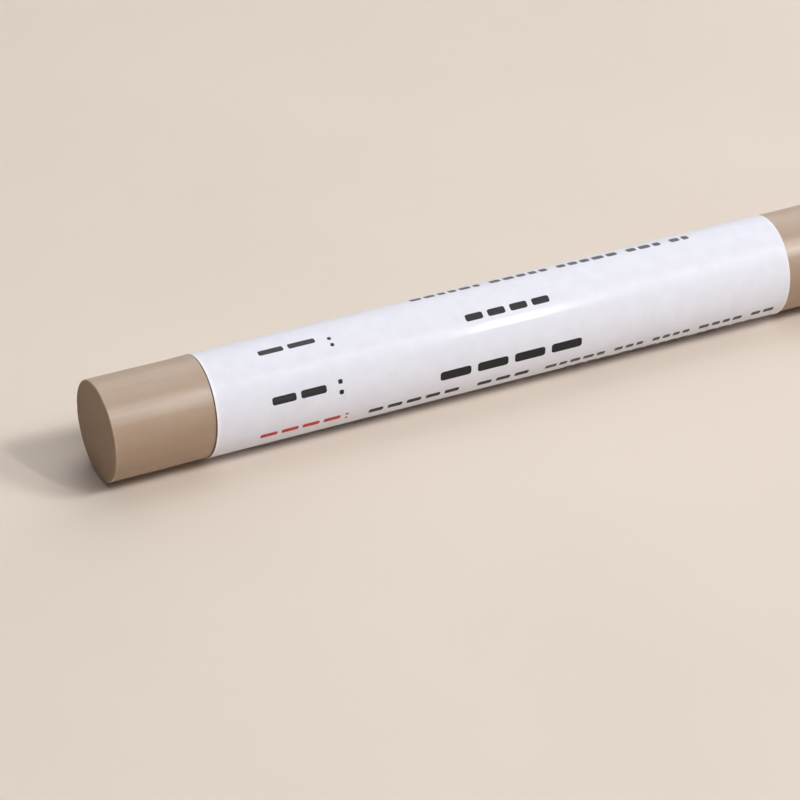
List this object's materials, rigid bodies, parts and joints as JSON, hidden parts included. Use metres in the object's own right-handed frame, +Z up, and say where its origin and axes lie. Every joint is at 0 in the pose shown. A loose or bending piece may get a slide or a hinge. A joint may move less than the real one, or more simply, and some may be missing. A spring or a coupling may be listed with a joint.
{
  "type": "furniture repair wax stick",
  "caption": "Round cast wax filler stick with a lapped self-adhesive gloss label round its middle and both ends bare, rubbed on to fill scratches in furniture.",
  "frame": {"origin": "on the surface that the stick lies on, under the middle of its length", "axes": "+X along the stick from its near end to its far end, +Z up, +Y to the back, where the label's lap is"},
  "size_m": [0.1, 0.0122, 0.0122],
  "materials": {
    "wax": "satin tan hard wax, faintly streaked along its length",
    "adhesive": "clear tacky coat",
    "label_paper": "smooth white coated paper",
    "label_film": "clear gloss film"
  },
  "bodies": {
    "root": {"wax_stick": "wax", "label_adhesive": "adhesive", "label_paper": "label_paper", "label_film": "label_film"}
  },
  "joints": []
}
